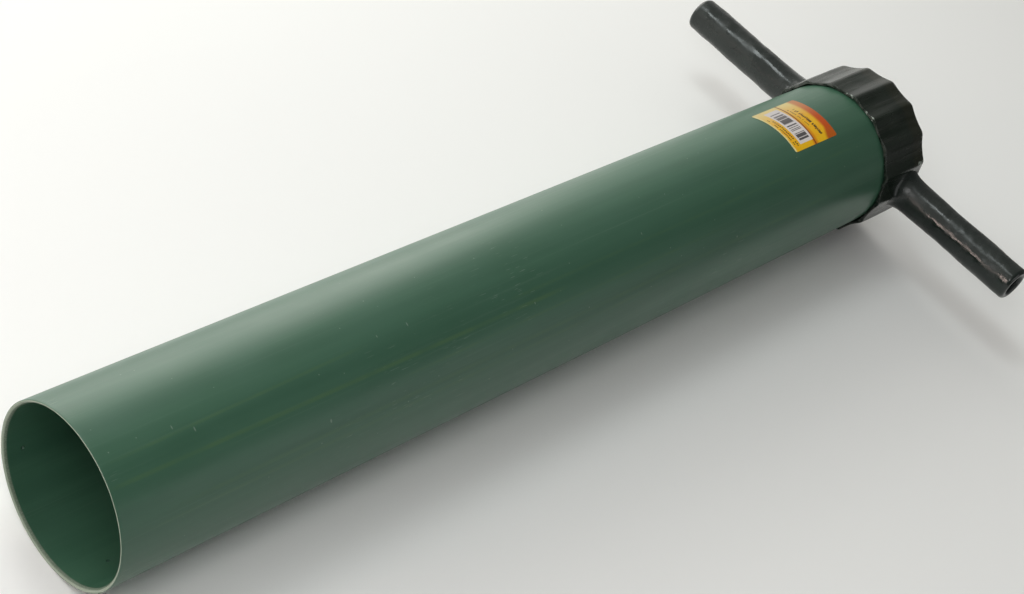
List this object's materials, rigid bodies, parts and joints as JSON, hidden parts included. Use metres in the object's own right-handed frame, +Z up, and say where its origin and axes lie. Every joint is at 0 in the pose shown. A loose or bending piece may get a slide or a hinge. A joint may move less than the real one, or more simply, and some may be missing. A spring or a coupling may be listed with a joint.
{
  "type": "post driver",
  "caption": "Hand post driver: a long open plastic guide pipe closed by a fluted weighted head, with a straight soft-gripped handle on each side of the head.",
  "frame": {"origin": "on the plane the tool lies on, under the middle of its whole length, on the vertical plane through the pipe's axis", "axes": "+X along the pipe's axis from the open mouth to the head, +Y along the handles towards the left handle, +Z up with the tool lying on its side"},
  "size_m": [1.079, 0.494, 0.174],
  "materials": {
    "pipe_green": "satin extruded pipe with fine lengthwise lines and scuffs",
    "head_black": "satin moulded, slightly green black",
    "grip_green": "glossy, lumpy, hand-dipped",
    "cast_weight": "rough cast",
    "plain_steel": "plain, lightly oiled",
    "label_film": "printed sticker, satin"
  },
  "bodies": {
    "root": {"guide_tube": "pipe_green", "head_jacket": "head_black", "head_weight": "cast_weight", "strike_plate": "plain_steel", "strike_plate_screw_1": "plain_steel", "strike_plate_screw_2": "plain_steel", "strike_plate_screw_3": "plain_steel", "strike_plate_screw_4": "plain_steel", "tube_screw_1": "plain_steel", "tube_screw_2": "plain_steel", "tube_screw_3": "plain_steel", "tube_screw_4": "plain_steel", "tube_screw_5": "plain_steel", "tube_screw_6": "plain_steel", "handle_bar": "plain_steel", "handle_lock_pin_left": "plain_steel", "handle_lock_pin_right": "plain_steel", "handle_grip_left": "grip_green", "handle_grip_right": "grip_green", "spec_label": "label_film"}
  },
  "joints": []
}
